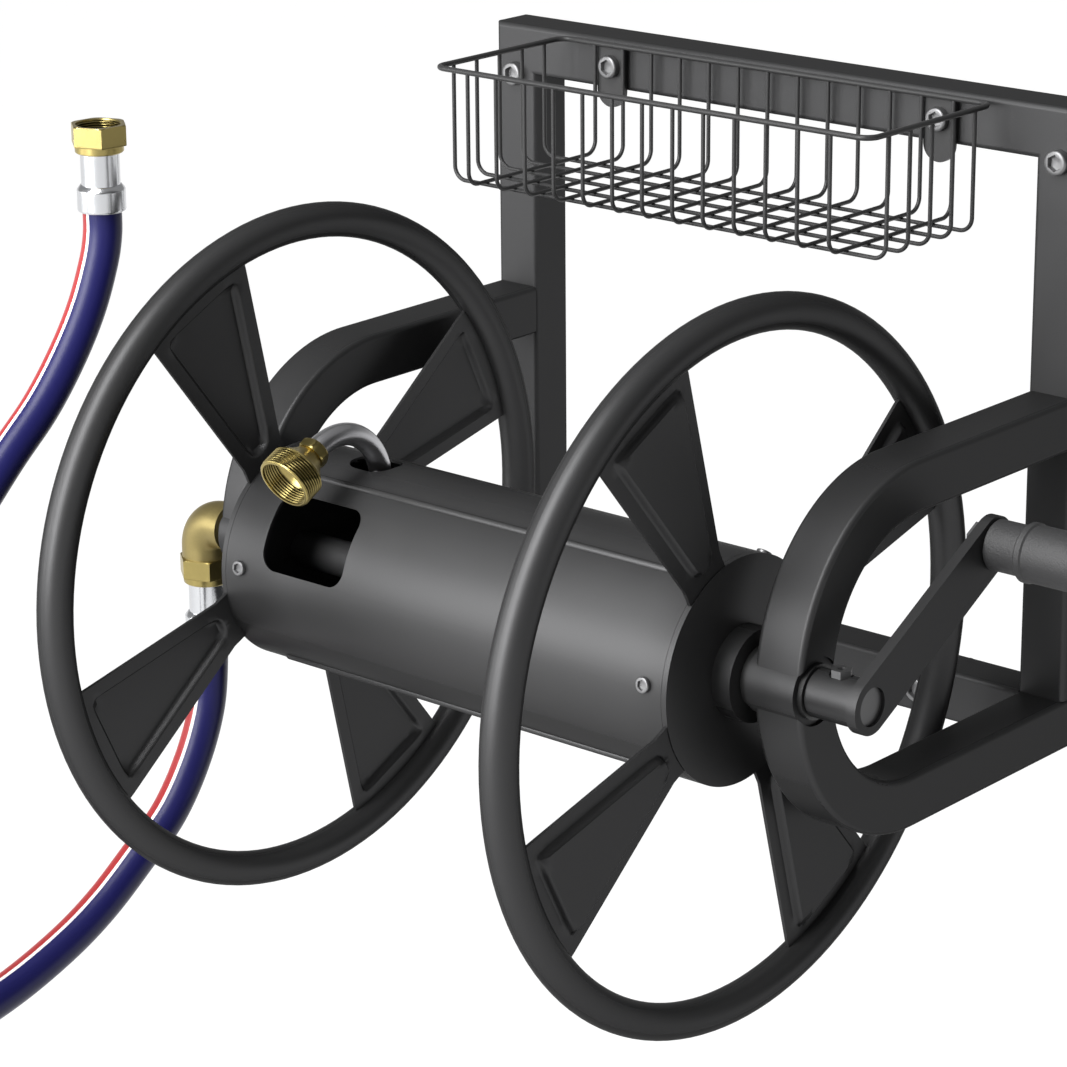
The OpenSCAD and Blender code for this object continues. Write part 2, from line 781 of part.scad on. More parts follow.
module grip() {
  bore = spindle_d / 2 + 0.08;
  pocket = spindle_d / 2 + 3.5;
  r = grip_d / 2;
  bead = grip_bead_d / 2;
  collar = grip_collar_d / 2;
  bead_start = grip_collar_len;
  color("gray") on_grip(grip_start) rotate_extrude() polygon([
    [bore, 0], [collar - 0.8, 0], [collar, 0.8], [collar, bead_start], [bead - 1, bead_start],
    [bead, bead_start + 1], [bead, bead_start + 4], [bead - 1, bead_start + 5], [r, bead_start + 5],
    [r, grip_len - 4], [r - 1.2, grip_len - 1.2], [r - 4, grip_len], [pocket, grip_len],
    [pocket, grip_len - spindle_head_t - 1], [bore, grip_len - spindle_head_t - 1]
  ]);
}

module swivel_seal() {
  color("black") on_axle(seal_x) torus(axle_r - 0.85, seal_r);
}

module swivel_clip() {
  color("silver") on_axle(clip_x - clip_t / 2) ring(axle_r + 0.8, axle_r - 1, clip_t);
}

module elbow_path(r, mouth, leg) {
  bend_x = inlet_x + elbow_bend_r;
  translate([bend_x, axle_y, axle_z - elbow_bend_r]) rotate([90, 0, 0]) rotate([0, 0, 90])
    torus(elbow_bend_r, r, 90);
  translate([inlet_x, axle_y, mouth]) cylinder(r = r, h = axle_z - elbow_bend_r - mouth);
  on_axle(bend_x) cylinder(r = r, h = leg - bend_x);
}

module inlet_elbow() {
  water_r = axle_bore_r;
  color("goldenrod") difference() {
    union() {
      elbow_path(elbow_d / 2, elbow_mouth_z, elbow_end);
      translate([inlet_x, axle_y, elbow_mouth_z - spigot_len])
        cylinder(d = thread_d - 0.1, h = spigot_len + 1);
    }
    elbow_path(water_r, elbow_mouth_z - spigot_len - 1, elbow_end + 1);
    on_axle(axle_tip - 0.4) cylinder(r = axle_r + run_clearance, h = elbow_end - axle_tip + 2);
    on_axle(clip_x - clip_t / 2 - 0.3) cylinder(r = axle_r + 1.1, h = clip_t + 0.6);
  }
}

// Pieces of one hose end. Local +Z points out of the nut's mouth, which is at z = 0.
module nut_piece() {
  thread_h = spigot_len - 0.2;
  chamber_floor = -nut_h + nut_web_t;
  color("goldenrod") difference() {
    union() {
      translate([0, 0, -nut_hex_h]) rotate([0, 0, nut_turn]) hexagon(nut_af, nut_hex_h);
      translate([0, 0, -nut_h]) cylinder(d = nut_base_d, h = nut_base_h + eps);
    }
    translate([0, 0, -thread_h]) cylinder(d = thread_d, h = thread_h + 1);
    translate([0, 0, chamber_floor]) cylinder(d = thread_d + 2 * nut_play, h = -thread_h - chamber_floor);
    translate([0, 0, -nut_h - 1]) cylinder(d = stem_d + 2 * nut_play, h = nut_h);
  }
}

module stem_piece() {
  color("silver") difference() {
    union() {
      translate([0, 0, flange_top - flange_t]) cylinder(d = thread_d - 0.2, h = flange_t);
      translate([0, 0, stem_neck_top - eps]) cylinder(d = stem_d, h = flange_top - stem_neck_top);
      translate([0, 0, stem_neck_top - stem_neck_len]) cylinder(d = hose_d, h = stem_neck_len);
    }
    translate([0, 0, stem_neck_top - stem_neck_len - 1])
      cylinder(d = stem_bore_d, h = nut_h + stem_neck_len + 2);
  }
}

module washer_piece() {
  color("black") translate([0, 0, flange_top]) ring(thread_d / 2 - 0.3, stem_bore_d / 2, washer_t);
}

module ferrule_piece() {
  color("silver") translate([0, 0, stem_neck_top - stem_neck_len - ferrule_len])
    ring(ferrule_d / 2, stem_bore_d / 2, ferrule_len);
}

module lower_end() translate([inlet_x, axle_y, elbow_mouth_z]) children();
module upper_end() translate([inlet_x, coupling_y, coupling_mouth_z]) children();

module elbow_nut() lower_end() nut_piece();
module elbow_washer() lower_end() washer_piece();
module lower_stem() lower_end() stem_piece();
module lower_ferrule() lower_end() ferrule_piece();
module upper_ferrule() upper_end() ferrule_piece();
module upper_stem() upper_end() stem_piece();
module coupling_washer() upper_end() washer_piece();
module coupling_nut() upper_end() nut_piece();

function unit(v) = v / norm(v);
function route_dir(p, i) = unit(p[min(i + 1, len(p) - 1)] - p[max(i - 1, 0)]);
function hose_ring(p, i) = let (d = route_dir(p, i))
  [for (k = [0 : hose_sides - 1])
    let (a = 360 * k / hose_sides, across = hose_d / 2 * cos(a), out = hose_d / 2 * sin(a))
    [inlet_x + across, p[i][0] + out * d[1], p[i][1] - out * d[0]]];

// Tube swept along a route in the plane of the elbow.
module swept_hose(p) {
  n = hose_sides;
  rings = len(p);
  polyhedron(
    points = [for (i = [0 : rings - 1]) each hose_ring(p, i)],
    faces = concat(
      [[for (k = [0 : n - 1]) k]],
      [for (i = [0 : rings - 2], k = [0 : n - 1]) [i * n + k, (i + 1) * n + k, (i + 1) * n + (k + 1) % n]],
      [for (i = [0 : rings - 2], k = [0 : n - 1])
        [i * n + k, (i + 1) * n + (k + 1) % n, i * n + (k + 1) % n]],
      [[for (k = [n - 1 : -1 : 0]) (rings - 1) * n + k]]
    )
  );
}

module lead_hose() color("navy") swept_hose(hose_route);

top_rail();
left_post();
right_post();
lower_rail();
left_upper_arm();
left_lower_arm();
right_upper_arm();
right_lower_arm();
left_bearing_tube();
right_bearing_tube();
left_bush();
right_bush();
wall_bolts();
basket_rim();
basket_wires();
basket_tabs();
basket_bolts();
left_rim();
right_rim();
left_spokes();
right_spokes();
top_panel();
front_panel();
rear_panel();
left_end_disc();
right_end_disc();
left_collar();
right_collar();
axle();
panel_screws();
gooseneck();
outlet_nut();
outlet_fitting();
crank_hub();
crank_arm();
crank_set_screw();
grip_spindle();
spindle_nut();
grip();
swivel_seal();
swivel_clip();
inlet_elbow();
elbow_nut();
elbow_washer();
lower_stem();
lower_ferrule();
lead_hose();
upper_ferrule();
upper_stem();
coupling_washer();
coupling_nut();
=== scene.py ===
import json
import math

import bmesh
import bpy
from mathutils import Matrix, Vector


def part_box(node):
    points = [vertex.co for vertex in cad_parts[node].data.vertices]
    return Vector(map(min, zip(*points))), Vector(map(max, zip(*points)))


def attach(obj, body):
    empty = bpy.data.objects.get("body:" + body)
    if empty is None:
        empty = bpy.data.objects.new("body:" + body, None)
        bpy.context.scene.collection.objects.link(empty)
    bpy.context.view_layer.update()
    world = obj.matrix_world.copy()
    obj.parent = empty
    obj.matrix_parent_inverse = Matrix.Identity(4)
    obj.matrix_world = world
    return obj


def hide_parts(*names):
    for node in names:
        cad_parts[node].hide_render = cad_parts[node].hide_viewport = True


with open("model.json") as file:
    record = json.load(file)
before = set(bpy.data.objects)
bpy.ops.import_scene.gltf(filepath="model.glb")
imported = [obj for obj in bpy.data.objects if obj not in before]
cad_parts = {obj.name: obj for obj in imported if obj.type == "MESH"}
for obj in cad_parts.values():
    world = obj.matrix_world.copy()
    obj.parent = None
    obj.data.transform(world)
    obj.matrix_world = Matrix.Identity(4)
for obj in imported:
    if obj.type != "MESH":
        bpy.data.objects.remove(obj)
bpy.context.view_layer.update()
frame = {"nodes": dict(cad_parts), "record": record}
nodes = frame["nodes"]

# Camera
# It stands in front and to the right of the reel and a little above it, with a
# long lens, so that both wheels and the basket are seen from the crank's side.
camera_place = Vector((1.2989, -1.7382, 0.4554))
camera_turn = math.radians(40.956)
camera_dip = math.radians(18.265)
camera_roll = math.radians(-0.468)
camera_data = bpy.data.cameras.new("camera")
camera_data.lens = 128.15
camera_data.sensor_width = 36
camera = bpy.data.objects.new("camera", camera_data)
bpy.context.scene.collection.objects.link(camera)
camera.matrix_world = (
    Matrix.Translation(camera_place)
    @ Matrix.Rotation(camera_turn, 4, "Z")
    @ Matrix.Rotation(math.radians(90) - camera_dip, 4, "X")
    @ Matrix.Rotation(camera_roll, 4, "Z")
)
bpy.context.scene.camera = camera

# Lead-in hose
# A three-foot rubber hose between the inlet elbow and the tap, extruded navy
# with a red and two white lines, crimped into a bright ferrule at each end.
hose_r = 0.011
hose_sides = 48
hose_step = 0.004
hose_x = (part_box("lead_hose")[0].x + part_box("lead_hose")[1].x) / 2
axle_y, axle_z = -0.262, -0.235
hose_route = [
    (axle_y, -0.3058), (axle_y, -0.320), (-0.266, -0.350), (-0.279, -0.380),
    (-0.300, -0.408), (-0.328, -0.429), (-0.358, -0.449), (-0.390, -0.464),
    (-0.432, -0.477), (-0.469, -0.482), (-0.509, -0.475), (-0.545, -0.451),
    (-0.570, -0.414), (-0.579, -0.370), (-0.571, -0.327), (-0.547, -0.289),
    (-0.502, -0.246), (-0.4575, -0.2045), (-0.4145, -0.1635), (-0.385, -0.138),
    (-0.363, -0.1125), (-0.347, -0.088), (-0.3365, -0.064), (-0.3331, -0.051),
    (-0.3323, -0.043), (-0.3323, -0.0355),
]  # fmt: skip
stripe_twist, twist_start, twist_share = math.radians(135), 0.36, 0.3
red_edge, white_edge = 0.11, 0.175


def add_node(tree, kind, inputs=None, **settings):
    """A shader node with its settings, and its inputs linked or set by name."""
    node = tree.nodes.new(kind)
    for key, value in settings.items():
        setattr(node, key, value)
    for key, value in (inputs or {}).items():
        if isinstance(value, bpy.types.NodeSocket):
            tree.links.new(value, node.inputs[key])
        else:
            node.inputs[key].default_value = value
    return node


def new_group(name, inputs, outputs):
    """An empty node group with float or colour sockets, and its two end nodes."""
    tree = bpy.data.node_groups.new(name, "ShaderNodeTree")
    for direction, sockets in (("INPUT", inputs), ("OUTPUT", outputs)):
        for label, value in sockets.items():
            kind = "NodeSocketColor" if label == "Color" else "NodeSocketFloat"
            socket = tree.interface.new_socket(label, in_out=direction, socket_type=kind)
            if direction == "INPUT":
                socket.default_value = value
    return tree, tree.nodes.new("NodeGroupInput"), tree.nodes.new("NodeGroupOutput")


def math_node(tree, operation, a, b=0.0, c=0.0):
    return add_node(tree, "ShaderNodeMath", {0: a, 1: b, 2: c}, operation=operation).outputs[0]


def surface_grain_group():
    """Clouds and fine grain of a moulded, cast or coated surface, in metres."""
    tree, start, end = new_group(
        "surface grain",
        {"Color": (0.5, 0.5, 0.5, 1), "Grain": 900.0, "Spread": 0.1, "Roughness": 0.5, "Uneven": 0.1},
        {"Color": None, "Roughness": None, "Height": None},
    )
    place = add_node(tree, "ShaderNodeTexCoord").outputs["Object"]
    fine = add_node(
        tree, "ShaderNodeTexNoise", {"Vector": place, "Scale": start.outputs["Grain"], "Detail": 3.0}
    )
    clouds = add_node(tree, "ShaderNodeTexNoise", {"Vector": place, "Scale": 14.0, "Detail": 4.0})
    offset = math_node(tree, "SUBTRACT", math_node(tree, "ADD", fine.outputs[0], clouds.outputs[0]), 1.0)
    gain = math_node(tree, "MULTIPLY_ADD", offset, start.outputs["Spread"], 1.0)
    shade = add_node(
        tree, "ShaderNodeVectorMath", {0: start.outputs["Color"], "Scale": gain}, operation="SCALE"
    )
    rough = math_node(tree, "MULTIPLY_ADD", offset, start.outputs["Uneven"], start.outputs["Roughness"])
    tree.links.new(shade.outputs[0], end.inputs["Color"])
    tree.links.new(rough, end.inputs["Roughness"])
    tree.links.new(fine.outputs[0], end.inputs["Height"])
    return tree


surface_grain = surface_grain_group()


def new_material(name):
    material = bpy.data.materials.new(name)
    material.use_nodes = True
    tree = material.node_tree
    return material, tree, tree.nodes["Principled BSDF"]


def grained_material(name, color, roughness, grain=900.0, spread=0.1, uneven=0.12, depth=0.00002, **plain):
    """A Principled material whose colour, roughness and bump come from the grain group."""
    material, tree, shader = new_material(name)
    group = add_node(tree, "ShaderNodeGroup", node_tree=surface_grain)
    group.inputs["Color"].default_value = (*color, 1)
    group.inputs["Grain"].default_value = grain
    group.inputs["Spread"].default_value = spread
    group.inputs["Roughness"].default_value = roughness
    group.inputs["Uneven"].default_value = uneven
    bump = add_node(tree, "ShaderNodeBump", {"Height": group.outputs["Height"], "Distance": depth})
    tree.links.new(group.outputs["Color"], shader.inputs["Base Color"])
    tree.links.new(group.outputs["Roughness"], shader.inputs["Roughness"])
    tree.links.new(bump.outputs[0], shader.inputs["Normal"])
    for key, value in plain.items():
        shader.inputs[key.replace("_", " ")].default_value = value
    return material


def finish_mesh(mesh):
    """Merges doubled points, turns the faces outward and keeps edges over 32 degrees sharp."""
    work = bmesh.new()
    work.from_mesh(mesh)
    bmesh.ops.remove_doubles(work, verts=work.verts, dist=1e-6)
    bmesh.ops.recalc_face_normals(work, faces=work.faces)
    work.to_mesh(mesh)
    work.free()
    mesh.shade_smooth()
    mesh.set_sharp_from_angle(angle=math.radians(32))


def mesh_piece(name, points, faces, material, body):
    """A new mesh object in the row frame that rides on a body."""
    mesh = bpy.data.meshes.new(name)
    mesh.from_pydata([tuple(p) for p in points], [], faces)
    finish_mesh(mesh)
    mesh.materials.append(material)
    piece = bpy.data.objects.new(name, mesh)
    bpy.context.scene.collection.objects.link(piece)
    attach(piece, body)
    return piece


def smooth_line(points, step):
    """Points about one step apart on a smooth curve through the given points."""
    ends = [points[0] * 2 - points[1], *points, points[-1] * 2 - points[-2]]
    line = []
    for a, b, c, d in zip(ends, ends[1:], ends[2:], ends[3:]):
        count = max(1, round((c - b).length / step))
        for i in range(count):
            t = i / count
            squared, cubed = 2 * a - 5 * b + 4 * c - d, 3 * b - a - 3 * c + d
            line.append(0.5 * (2 * b + (c - a) * t + squared * t**2 + cubed * t**3))
    return [*line, points[-1]]


def eased(t):
    t = min(1.0, max(0.0, t))
    return t * t * (3 - 2 * t)


hose_line = smooth_line([Vector((hose_x, y, z)) for y, z in hose_route], hose_step)
hose_points, hose_faces, hose_round = [], [], []
for i, place in enumerate(hose_line):
    along = (hose_line[min(i + 1, len(hose_line) - 1)] - hose_line[max(i - 1, 0)]).normalized()
    across = Vector((0, -along.z, along.y))
    twist = stripe_twist * eased((i / (len(hose_line) - 1) - twist_start) / twist_share)
    for k in range(hose_sides):
        angle = 2 * math.pi * k / hose_sides
        hose_points.append(place + hose_r * (math.cos(angle) * Vector((1, 0, 0)) + math.sin(angle) * across))
        hose_round.append((math.cos(angle + twist), math.sin(angle + twist), 0))
for i in range(len(hose_line) - 1):
    for k in range(hose_sides):
        a, b = i * hose_sides + k, i * hose_sides + (k + 1) % hose_sides
        hose_faces.append((a, b, b + hose_sides, a + hose_sides))
hose_faces.append(tuple(reversed(range(hose_sides))))
hose_faces.append(tuple(range(len(hose_points) - hose_sides, len(hose_points))))

hose_rubber, tree, shader = new_material("hose rubber")
hose_stripe_turn = math.radians(-108)
around = add_node(tree, "ShaderNodeAttribute", attribute_name="round")
toward_stripe = add_node(
    tree,
    "ShaderNodeVectorMath",
    {0: around.outputs["Vector"], 1: (math.cos(hose_stripe_turn), math.sin(hose_stripe_turn), 0)},
    operation="DOT_PRODUCT",
)
stripe_cosine = math_node(tree, "MINIMUM", toward_stripe.outputs["Value"], 0.9999)
stripe_angle = math_node(tree, "ARCCOSINE", stripe_cosine)
stripes = add_node(tree, "ShaderNodeValToRGB", {"Fac": math_node(tree, "DIVIDE", stripe_angle, math.pi)})
stripes.color_ramp.interpolation = "CONSTANT"
hose_navy, hose_red, hose_white = (0.010, 0.010, 0.078, 1), (0.30, 0.026, 0.028, 1), (0.72, 0.70, 0.68, 1)
for place, color in ((0.0, hose_red), (red_edge, hose_white), (white_edge, hose_navy)):
    stop = stripes.color_ramp.elements[0] if place == 0 else stripes.color_ramp.elements.new(place)
    stop.position, stop.color = place, color
stripes.color_ramp.elements.remove(stripes.color_ramp.elements[-1])
hose_grain = add_node(tree, "ShaderNodeGroup", node_tree=surface_grain)
hose_grain.inputs["Grain"].default_value = 500.0
hose_grain.inputs["Spread"].default_value = 0.08
hose_grain.inputs["Roughness"].default_value = 0.36
tree.links.new(stripes.outputs["Color"], hose_grain.inputs["Color"])
tree.links.new(hose_grain.outputs["Color"], shader.inputs["Base Color"])
tree.links.new(hose_grain.outputs["Roughness"], shader.inputs["Roughness"])
hose_bump = add_node(tree, "ShaderNodeBump", {"Height": hose_grain.outputs["Height"], "Distance": 0.00003})
tree.links.new(hose_bump.outputs[0], shader.inputs["Normal"])
shader.inputs["Specular IOR Level"].default_value = 0.3

hose = mesh_piece("lead_in_hose", hose_points, hose_faces, hose_rubber, "inlet")
round_data = hose.data.attributes.new("round", "FLOAT_VECTOR", "POINT")
for item, value in zip(round_data.data, hose_round):
    item.vector = value
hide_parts("lead_hose")

# Frame
# Square steel tube, mitred at the top corners and welded, with two J-shaped
# side arms of two pieces each. All of it is powder coated charcoal.
coat_dark = (0.059, 0.059, 0.060)


def paint(material, *names):
    """Gives CAD nodes a material in place of their own."""
    for name in names:
        mesh = nodes[name].data
        mesh.materials.clear()
        mesh.materials.append(material)


def coat_material(name, color, roughness, depth=0.00002):
    """Powder coat with a fine metallic flake, which stays dark at a low angle."""
    return grained_material(
        name, color, roughness, grain=1400.0, spread=0.12, depth=depth,
        Specular_IOR_Level=0.3, Metallic=0.7, Specular_Tint=(0, 0, 0, 1),
    )  # fmt: skip


frame_coat = coat_material("frame coat", coat_dark, 0.46, depth=0.00003)
paint(
    frame_coat,
    "top_rail", "left_post", "right_post", "lower_rail",
    "left_upper_arm", "left_lower_arm", "right_upper_arm", "right_lower_arm",
)  # fmt: skip

# Bearings
# A short steel tube is welded into the bend of each side arm and coated with it.
# A black plastic bush with a flange is pressed in from the drum's side. Its
# near-black colour also paints the shade in the ring round the crank hub.
# Near black: black plastic, and painted shade for the ring between the bearing tube and the crank hub.
bush_black_with_shade = grained_material("bush plastic", (0.008, 0.008, 0.008), 0.5, grain=700.0, spread=0.06)
paint(frame_coat, "left_bearing_tube", "right_bearing_tube")
paint(bush_black_with_shade, "left_bush", "right_bush")

# Wall bolts
# Four zinc plated M8 bolts with round heads and hexagon sockets, through the
# posts and the lower rail into the wall.
bolt_zinc = grained_material("bolt zinc", (0.20, 0.20, 0.203), 0.42, grain=500.0, spread=0.12, Metallic=0.9)
socket_share = 0.56


def turned(name, outline, place, material, body, sides=48, closed=False):
    """A turned solid from outline rows of (height, radius).

    A radius may be a function of angle and height.
    """
    points, faces = [], []
    for height, radius in outline:
        for k in range(sides):
            angle = 2 * math.pi * k / sides
            r = radius(angle, height) if callable(radius) else radius
            points.append(place @ Vector((r * math.cos(angle), r * math.sin(angle), height)))
    rows = len(outline)
    for i in range(rows if closed else rows - 1):
        for k in range(sides):
            a, b = i * sides + k, i * sides + (k + 1) % sides
            c, d = (i + 1) % rows * sides + (k + 1) % sides, (i + 1) % rows * sides + k
            faces.append((a, b, c, d))
    if not closed:
        faces.append(tuple(reversed(range(sides))))
        faces.append(tuple(range((rows - 1) * sides, rows * sides)))
    return mesh_piece(name, points, faces, material, body)


def hexagon(across, cap=1.0):
    """Radius of a hexagon, given across its flats, cut down to a round cap at its corners."""
    def radius(angle, height):
        return min(across / 2 / math.cos((angle + math.pi / 6) % (math.pi / 3) - math.pi / 6), cap)

    return radius


def arc_rows(height, radius, r, start, end, steps=5):
    """Outline rows along a round edge, from one angle to another in degrees."""
    angles = [math.radians(start + (end - start) * i / steps) for i in range(steps + 1)]
    return [(height + r * math.sin(a), radius + r * math.cos(a)) for a in angles]


def socket_head(name, place, body, radius, height, shank_r, shank):
    """A round bolt head with a soft edge and a hexagon socket. The underside of the head is at 0."""
    edge = height * 0.3
    socket = 2 * radius * socket_share
    outline = [
        (-shank, shank_r * 0.85),
        (-shank + shank_r * 0.2, shank_r),
        (0, shank_r),
        (0, radius - edge * 0.3),
        (edge * 0.3, radius),
        *arc_rows(height - edge, radius - edge, edge, 0, 90),
        (height, hexagon(socket * 1.06)),
        (height - 0.0004, hexagon(socket)),
        (height * 0.35, hexagon(socket)),
        (height * 0.28, 0.0001),
    ]
    return turned(name, outline, place, bolt_zinc, body)


def placed(x, y, z, turn=0.0, axis="X"):
    return Matrix.Translation((x, y, z)) @ Matrix.Rotation(math.radians(turn), 4, axis)


def joined(name, parts, *replaced):
    """Several like pieces as one object that stands for CAD nodes."""
    whole = bmesh.new()
    for part in parts:
        whole.from_mesh(part.data)
    first = parts[0]
    whole.to_mesh(first.data)
    whole.free()
    for part in parts[1:]:
        bpy.data.objects.remove(part)
    first.name = name
    finish_mesh(first.data)
    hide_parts(*replaced)


wall_mounts = [m for m in frame["record"]["mounts"] if m["kind"] == "bolt_pattern"]
frame_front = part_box("left_post")[0].y
wall_bolt = {"radius": 0.007, "height": 0.005, "shank_r": 0.004, "shank": 0.054}
parts = []
for m in wall_mounts:
    for side in (-1, 1):
        x, z = side * m["dims"]["spacing_x_mm"] / 2000, m["pos_m"][2]
        parts.append(socket_head("bolt", placed(x, frame_front, z, 90), "frame", **wall_bolt))
joined("wall_mounting_bolts", parts, "wall_bolts")

# Basket
# Thin round wires bent to hoops and long bars, spot welded under a thicker rim
# wire. Two flat tabs behind the wires are bolted to the top rail.
basket_coat = grained_material(
    "basket coat", (0.026, 0.026, 0.0265), 0.42, grain=1500.0, depth=0.00001, Specular_IOR_Level=0.35
)
paint(basket_coat, "basket_rim", "basket_wires", "basket_tabs")
low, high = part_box("basket_bolts")
tab_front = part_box("basket_tabs")[0].y
bolt_z = (low.z + high.z) / 2
tab_bolt = {"radius": 0.00675, "height": 0.0045, "shank_r": 0.003, "shank": 0.021}
parts = []
for x in (low.x + tab_bolt["radius"], high.x - tab_bolt["radius"]):
    parts.append(socket_head("bolt", placed(x, tab_front, bolt_z, 90), "frame", **tab_bolt))
joined("basket_mounting_bolts", parts, "basket_bolts")

# Wheel rims
# Round tube rolled to a ring and welded closed, powder coated.
wheel_coat = coat_material("wheel coat", coat_dark, 0.42)
paint(wheel_coat, "left_rim", "right_rim")

# Spokes
# Four wedges of pressed sheet in each wheel, with a raised middle that has
# round corners, welded to the rim and to the edge of the end disc.
spoke_half = math.radians(12.75)
spoke_first = {"left": 25.3, "right": 27.4}
spoke_sheet = 0.002
pan_rise = 0.004
pan_border = 0.0078
pan_slope = 0.0032
pan_corner = 0.007
pan_near, pan_far = 0.0702, 0.172
spoke_near, spoke_far = 0.0627, 0.1835
slope_steps, middle_steps = 5, 24


def pan_height(u, v):
    """How far the sheet is pressed out at a distance u along the spoke and v across it."""
    from_side = (u * math.tan(spoke_half) - abs(v)) * math.cos(spoke_half) - pan_border
    inside = (u - pan_near, pan_far - u, from_side)
    short = math.sqrt(sum(max(pan_corner - d, 0) ** 2 for d in inside))
    return pan_rise * eased((pan_corner - short) / pan_slope)


def spoke_rows():
    """Rows along the spoke, close together on the slopes: (distance, share of the way to the round end)."""
    slope = [pan_slope * i / slope_steps for i in range(slope_steps + 1)]
    flat = pan_far - pan_near - 2 * pan_slope
    middle = [pan_near + pan_slope + flat * i / middle_steps for i in range(1, middle_steps)]
    return (
        [(pan_near, -1), (pan_near, -0.5)]
        + [(pan_near + s, 0) for s in slope]
        + [(u, 0) for u in middle]
        + [(pan_far - s, 0) for s in reversed(slope)]
        + [(pan_far, 0.5), (pan_far, 1)]
    )


def spoke_mesh_points():
    """One spoke's grid of (along, across, height), with its columns close together at the slopes."""
    edge = [0, pan_border / 2, pan_border]
    edge += [pan_border + pan_slope * i / slope_steps for i in range(1, slope_steps + 1)]
    grid = []
    for u, end in spoke_rows():
        half = u * math.tan(spoke_half)
        sides = [half - d / math.cos(spoke_half) for d in edge]
        inner = sides[-1]
        across = sides + [inner * (1 - i / 5) for i in range(1, 5)]
        across = across + [0] + [-v for v in reversed(across)]
        row = []
        for v in across:
            v = v * (1 + 0.5 * abs(end) * (spoke_far / pan_far - 1)) if end > 0 else v
            goal = math.sqrt((spoke_far if end > 0 else spoke_near) ** 2 - v * v)
            row.append((u + (goal - u) * abs(end), v, pan_height(u + (goal - u) * abs(end), v)))
        grid.append(row)
    return grid


spoke_grid = spoke_mesh_points()
for side, sign in (("left", -1), ("right", 1)):
    rim_low, rim_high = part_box(side + "_rim")
    wheel_x = (rim_low.x + rim_high.x) / 2
    points, faces = [], []
    for k in range(4):
        turn = math.radians(spoke_first[side] + 90 * k)
        base = len(points)
        rows, columns = len(spoke_grid), len(spoke_grid[0])
        for face in (1, -1):
            for row in spoke_grid:
                for u, v, h in row:
                    y = u * math.cos(turn) - v * math.sin(turn)
                    z = u * math.sin(turn) + v * math.cos(turn)
                    x = wheel_x + sign * (h + face * spoke_sheet / 2)
                    points.append((x, axle_y + y, axle_z + z))
        back = rows * columns
        for i in range(rows - 1):
            for j in range(columns - 1):
                a = base + i * columns + j
                faces.append((a, a + 1, a + columns + 1, a + columns))
                faces.append(tuple(q + back for q in (a, a + columns, a + columns + 1, a + 1)))
        rim_path = (
            list(range(columns - 1))
            + [i * columns + columns - 1 for i in range(rows - 1)]
            + [(rows - 1) * columns + j for j in range(columns - 1, 0, -1)]
            + [i * columns for i in range(rows - 1, 0, -1)]
        )
        for p, q in zip(rim_path, rim_path[1:] + rim_path[:1]):
            faces.append((base + q, base + p, base + p + back, base + q + back))
    spokes = mesh_piece(side + "_pressed_spokes", points, faces, wheel_coat, "reel")
    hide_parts(side + "_spokes")

# Drum
# Three curved sheet panels screwed to the rims of two flat end discs. The long
# edges are folded in, and a rolled bead stiffens each seam.
drum_coat = coat_material("drum coat", (0.070, 0.070, 0.071), 0.42)
paint(
    drum_coat,
    "top_panel", "front_panel", "rear_panel",
    "left_end_disc", "right_end_disc", "left_collar", "right_collar",
)  # fmt: skip
drum_r = (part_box("left_end_disc")[1].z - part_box("left_end_disc")[0].z) / 2
bead_r, bead_inset, bead_sink = 0.0023, 0.022, 0.0004
bead_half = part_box("top_panel")[1].x - bead_inset


def on_axle(x, turn=0.0, out=0.0):
    """Local Z along the axle towards the crank, local X away from it at the angle given."""
    flat = Matrix(((0, 0, 1, x), (1, 0, 0, axle_y), (0, 1, 0, axle_z), (0, 0, 0, 1)))
    return flat @ Matrix.Rotation(math.radians(turn), 4, "Z") @ Matrix.Translation((out, 0, 0))


bead_outline = (
    [(0, 0.0001)]
    + arc_rows(bead_r, 0, bead_r, -90, 0)[1:]
    + arc_rows(2 * bead_half - bead_r, 0, bead_r, 0, 90)[:-1]
    + [(2 * bead_half, 0.0001)]
)
seam_lean = 1.4
parts = []
for seam in (114 + seam_lean, 234 - seam_lean, 354 + seam_lean):
    place = on_axle(-bead_half, seam, drum_r - bead_sink)
    parts.append(turned("bead", bead_outline, place, drum_coat, "reel", sides=16))
joined("panel_seam_beads", parts)

# Panel screws
# Six small socket screws hold the panels to the rims of the end discs.
low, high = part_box("panel_screws")
panel_screw = {"radius": 0.0043, "height": 0.0024, "shank_r": 0.0025, "shank": 0.006}
parts = []
for x in (low.x + panel_screw["radius"], high.x - panel_screw["radius"]):
    for turn in (54, 174, 294):
        place = on_axle(x, turn, drum_r) @ Matrix.Rotation(math.radians(90), 4, "Y")
        parts.append(socket_head("screw", place, "reel", **panel_screw))
joined("panel_socket_screws", parts, "panel_screws")

# Axle
# A blackened steel shaft through both bushes. Its left half is bored as the
# water way from the inlet elbow to the gooseneck.
shaft_black = grained_material(
    "shaft steel", (0.10, 0.10, 0.102), 0.42, grain=500.0, spread=0.12, Metallic=0.6
)
paint(shaft_black, "axle")

# Gooseneck
# Satin chromed tube, screwed into the axle and bent forward over the drum.
satin_steel = grained_material(
    "satin steel", (0.50, 0.50, 0.515), 0.3,
    grain=300.0, spread=0.06, uneven=0.05, depth=0.000004, Metallic=1.0,
)  # fmt: skip
paint(satin_steel, "gooseneck")
